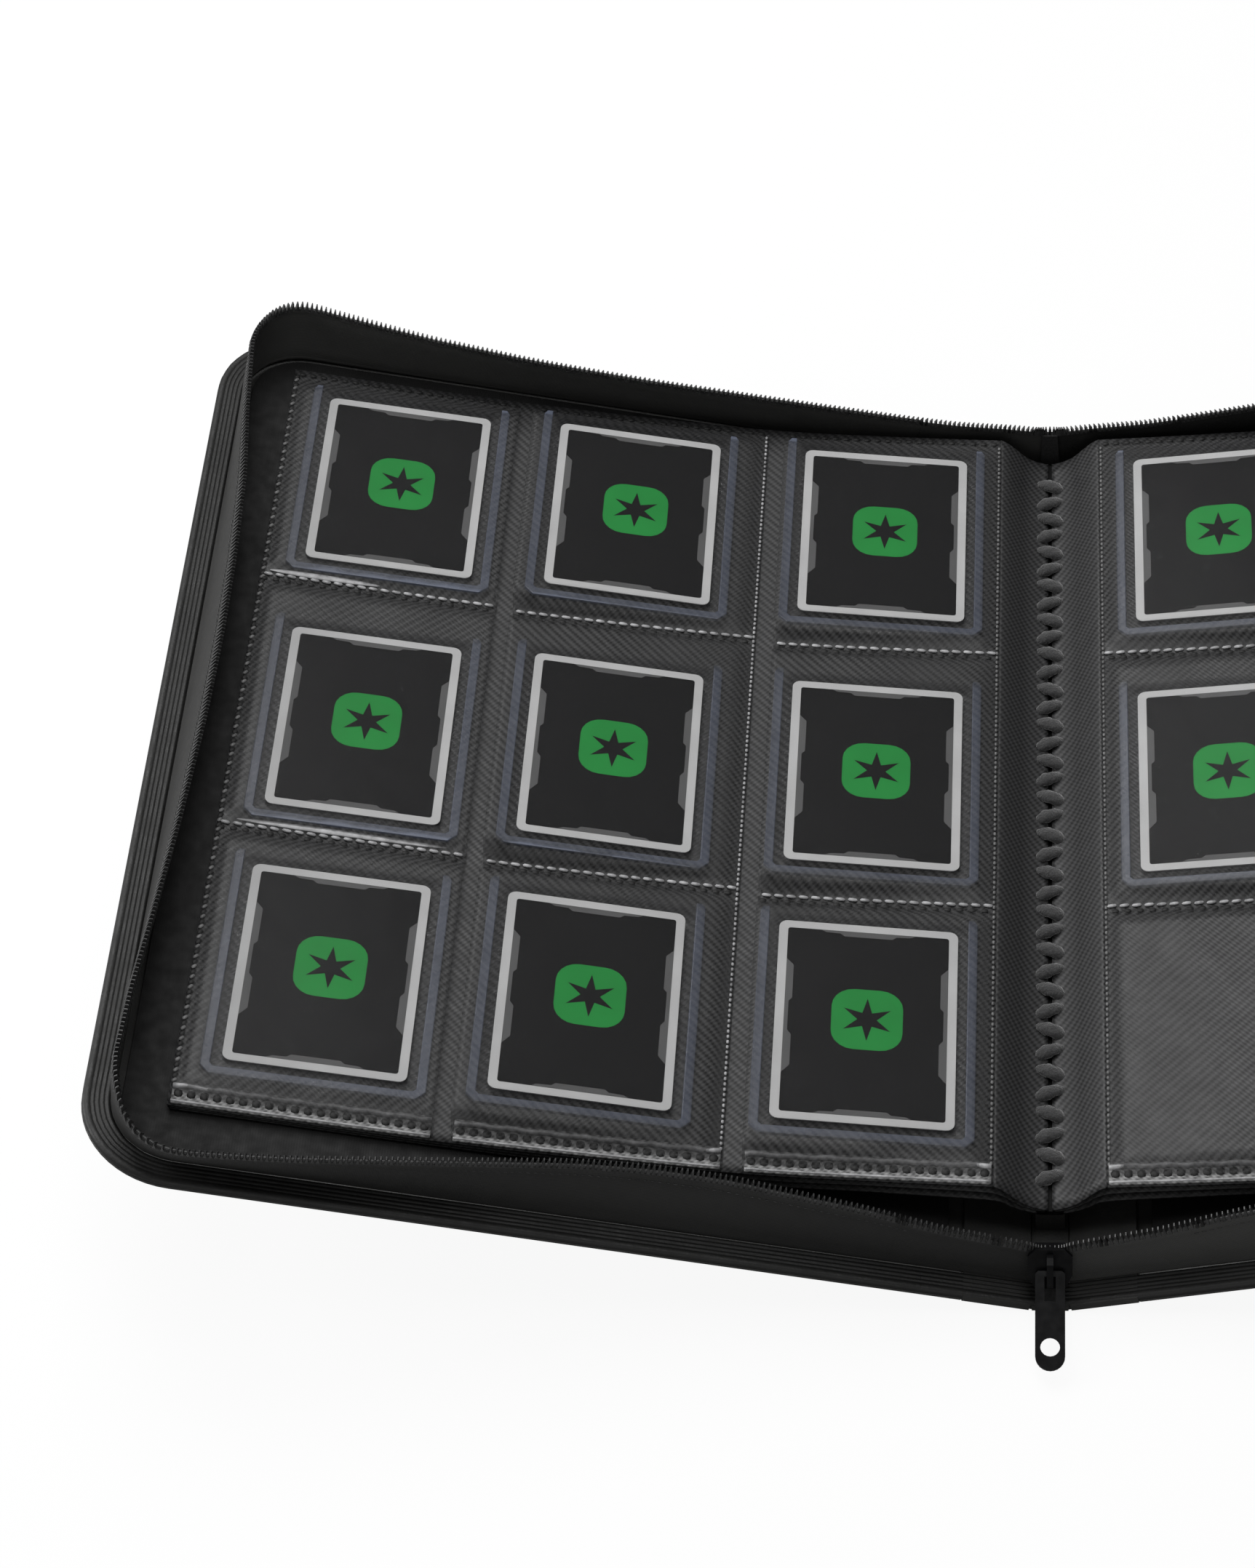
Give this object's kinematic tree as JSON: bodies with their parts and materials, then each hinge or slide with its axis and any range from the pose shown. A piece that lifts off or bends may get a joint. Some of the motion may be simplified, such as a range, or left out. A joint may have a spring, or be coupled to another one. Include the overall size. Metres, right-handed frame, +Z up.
{
  "type": "trading card binder",
  "caption": "Zip-round album with side-loading pocket leaves for rigid card sleeves, lying open; covers, leaves, sleeves, slider and pull all move.",
  "frame": {"origin": "centre of the flat underside of the spine strip, midway between head and tail", "axes": "+X across the open binder towards the right cover, +Y along the spine towards the head (the end without the slider), +Z up out of the open pages"},
  "size_m": [0.652, 0.4494, 0.099],
  "materials": {
    "cover_skin": "soft grained imitation leather, satin",
    "cover_board": "grey board, matt",
    "cover_lining": "brushed black lining, matt",
    "gusset": "woven tape and imitation leather, matt",
    "zipper_teeth": "moulded nylon coil, satin",
    "spine_skin": "soft grained imitation leather, satin",
    "binding_strip": "padded strip, matt",
    "stitch_cord": "thick twisted cord, matt",
    "leaf_sheet": "textured polypropylene sheet, satin",
    "pocket_film": "clear embossed polypropylene film, glossy",
    "card_sleeve": "clear rigid vinyl, glossy",
    "card": "coated card, satin",
    "zipper_metal": "black gloss plated zinc"
  },
  "bodies": {
    "spine": {"spine_strip": "spine_skin", "binding_strip": "binding_strip", "gutter_fold": "leaf_sheet", "stitch_cord": "stitch_cord", "zipper_tail": "zipper_teeth", "zipper_head": "zipper_teeth"},
    "slider": {"slider_body": "zipper_metal"},
    "pull_tab": {"pull_tab": "zipper_metal"},
    "left_spine_panel": {"left_spine_panel": "spine_skin"},
    "left_cover": {"left_cover_skin": "cover_skin", "left_cover_board": "cover_board", "left_cover_lining": "cover_lining", "left_gusset": "gusset", "left_zipper_teeth": "zipper_teeth"},
    "left_lower_leaves": {"left_gutter_film": "leaf_sheet", "left_leaf_two": "leaf_sheet", "left_leaf_three": "leaf_sheet"},
    "left_top_leaf": {"left_leaf_sheet": "leaf_sheet", "left_pocket_film_outer": "pocket_film", "left_pocket_film_middle": "pocket_film", "left_pocket_film_inner": "pocket_film"},
    "right_spine_panel": {"right_spine_panel": "spine_skin"},
    "right_cover": {"right_cover_skin": "cover_skin", "right_cover_board": "cover_board", "right_cover_lining": "cover_lining", "right_gusset": "gusset", "right_zipper_teeth": "zipper_teeth"},
    "right_lower_leaves": {"right_gutter_film": "leaf_sheet", "right_leaf_two": "leaf_sheet", "right_leaf_three": "leaf_sheet"},
    "right_top_leaf": {"right_leaf_sheet": "leaf_sheet", "right_pocket_film_outer": "pocket_film", "right_pocket_film_middle": "pocket_film", "right_pocket_film_inner": "pocket_film"},
    "card_sleeve_left_1": {"card_sleeve_left_1": "card_sleeve", "card_left_1": "card"},
    "card_sleeve_left_2": {"card_sleeve_left_2": "card_sleeve", "card_left_2": "card"},
    "card_sleeve_left_3": {"card_sleeve_left_3": "card_sleeve", "card_left_3": "card"},
    "card_sleeve_left_4": {"card_sleeve_left_4": "card_sleeve", "card_left_4": "card"},
    "card_sleeve_left_5": {"card_sleeve_left_5": "card_sleeve", "card_left_5": "card"},
    "card_sleeve_left_6": {"card_sleeve_left_6": "card_sleeve", "card_left_6": "card"},
    "card_sleeve_left_7": {"card_sleeve_left_7": "card_sleeve", "card_left_7": "card"},
    "card_sleeve_left_8": {"card_sleeve_left_8": "card_sleeve", "card_left_8": "card"},
    "card_sleeve_left_9": {"card_sleeve_left_9": "card_sleeve", "card_left_9": "card"},
    "card_sleeve_right_1": {"card_sleeve_right_1": "card_sleeve", "card_right_1": "card"},
    "card_sleeve_right_2": {"card_sleeve_right_2": "card_sleeve", "card_right_2": "card"},
    "card_sleeve_right_3": {"card_sleeve_right_3": "card_sleeve", "card_right_3": "card"},
    "card_sleeve_right_4": {"card_sleeve_right_4": "card_sleeve", "card_right_4": "card"}
  },
  "joints": [
    {"name": "slider_travel", "type": "slide", "parent": "spine", "child": "slider", "axis": [0, -0.5, -0.866], "range_m": [0, 0.0045]},
    {"name": "pull_swing", "type": "hinge", "parent": "slider", "child": "pull_tab", "pos_m": [0, -0.21433, 0.01703], "axis": [1, 0, 0], "range_deg": [-120, 40]},
    {"name": "left_spine_fold", "type": "hinge", "parent": "spine", "child": "left_spine_panel", "pos_m": [-0.0064, 0, 0], "axis": [0, 1, 0], "range_deg": [-6.3, 0]},
    {"name": "left_cover_close", "type": "hinge", "parent": "left_spine_panel", "child": "left_cover", "pos_m": [-0.03111, 0, 0.00589], "axis": [0, 1, 0], "range_deg": [0, 45]},
    {"name": "left_leaves_rise", "type": "hinge", "parent": "spine", "child": "left_lower_leaves", "pos_m": [-0.02, 0, 0.015], "axis": [0, 1, 0], "range_deg": [0, 38.1]},
    {"name": "left_leaf_turn", "type": "hinge", "parent": "left_lower_leaves", "child": "left_top_leaf", "pos_m": [-0.0186, 0, 0.03], "axis": [0, -1, 0], "range_deg": [-80, 0]},
    {"name": "right_spine_fold", "type": "hinge", "parent": "spine", "child": "right_spine_panel", "pos_m": [0.0064, 0, 0], "axis": [0, -1, 0], "range_deg": [-6.3, 0]},
    {"name": "right_cover_close", "type": "hinge", "parent": "right_spine_panel", "child": "right_cover", "pos_m": [0.03111, 0, 0.00589], "axis": [0, -1, 0], "range_deg": [0, 45]},
    {"name": "right_leaves_rise", "type": "hinge", "parent": "spine", "child": "right_lower_leaves", "pos_m": [0.02, 0, 0.015], "axis": [0, -1, 0], "range_deg": [0, 38.1]},
    {"name": "right_leaf_turn", "type": "hinge", "parent": "right_lower_leaves", "child": "right_top_leaf", "pos_m": [0.0186, 0, 0.03], "axis": [0, 1, 0], "range_deg": [-80, 0]},
    {"name": "sleeve_left_1_slide", "type": "slide", "parent": "left_top_leaf", "child": "card_sleeve_left_1", "axis": [0.9803, 0, -0.1977], "range_m": [0, 0.005]},
    {"name": "sleeve_left_2_slide", "type": "slide", "parent": "left_top_leaf", "child": "card_sleeve_left_2", "axis": [-0.9792, 0, 0.2028], "range_m": [0, 0.005]},
    {"name": "sleeve_left_3_slide", "type": "slide", "parent": "left_top_leaf", "child": "card_sleeve_left_3", "axis": [-0.9938, 0, 0.1115], "range_m": [0, 0.005]},
    {"name": "sleeve_left_4_slide", "type": "slide", "parent": "left_top_leaf", "child": "card_sleeve_left_4", "axis": [0.9803, 0, -0.1977], "range_m": [0, 0.005]},
    {"name": "sleeve_left_5_slide", "type": "slide", "parent": "left_top_leaf", "child": "card_sleeve_left_5", "axis": [-0.9792, 0, 0.2028], "range_m": [0, 0.005]},
    {"name": "sleeve_left_6_slide", "type": "slide", "parent": "left_top_leaf", "child": "card_sleeve_left_6", "axis": [-0.9938, 0, 0.1115], "range_m": [0, 0.005]},
    {"name": "sleeve_left_7_slide", "type": "slide", "parent": "left_top_leaf", "child": "card_sleeve_left_7", "axis": [0.9803, 0, -0.1977], "range_m": [0, 0.005]},
    {"name": "sleeve_left_8_slide", "type": "slide", "parent": "left_top_leaf", "child": "card_sleeve_left_8", "axis": [-0.9792, 0, 0.2028], "range_m": [0, 0.005]},
    {"name": "sleeve_left_9_slide", "type": "slide", "parent": "left_top_leaf", "child": "card_sleeve_left_9", "axis": [-0.9938, 0, 0.1115], "range_m": [0, 0.005]},
    {"name": "sleeve_right_1_slide", "type": "slide", "parent": "right_top_leaf", "child": "card_sleeve_right_1", "axis": [0.9938, 0, 0.1115], "range_m": [0, 0.005]},
    {"name": "sleeve_right_2_slide", "type": "slide", "parent": "right_top_leaf", "child": "card_sleeve_right_2", "axis": [0.9792, 0, 0.2028], "range_m": [0, 0.005]},
    {"name": "sleeve_right_3_slide", "type": "slide", "parent": "right_top_leaf", "child": "card_sleeve_right_3", "axis": [-0.9803, 0, -0.1977], "range_m": [0, 0.005]},
    {"name": "sleeve_right_4_slide", "type": "slide", "parent": "right_top_leaf", "child": "card_sleeve_right_4", "axis": [0.9938, 0, 0.1115], "range_m": [0, 0.005]}
  ],
  "couplings": [
    {"joint": "left_spine_fold", "follows": "left_cover_close", "ratio": -0.13889},
    {"joint": "left_leaves_rise", "follows": "left_cover_close", "ratio": 0.845},
    {"joint": "right_spine_fold", "follows": "right_cover_close", "ratio": -0.13889},
    {"joint": "right_leaves_rise", "follows": "right_cover_close", "ratio": 0.845}
  ]
}
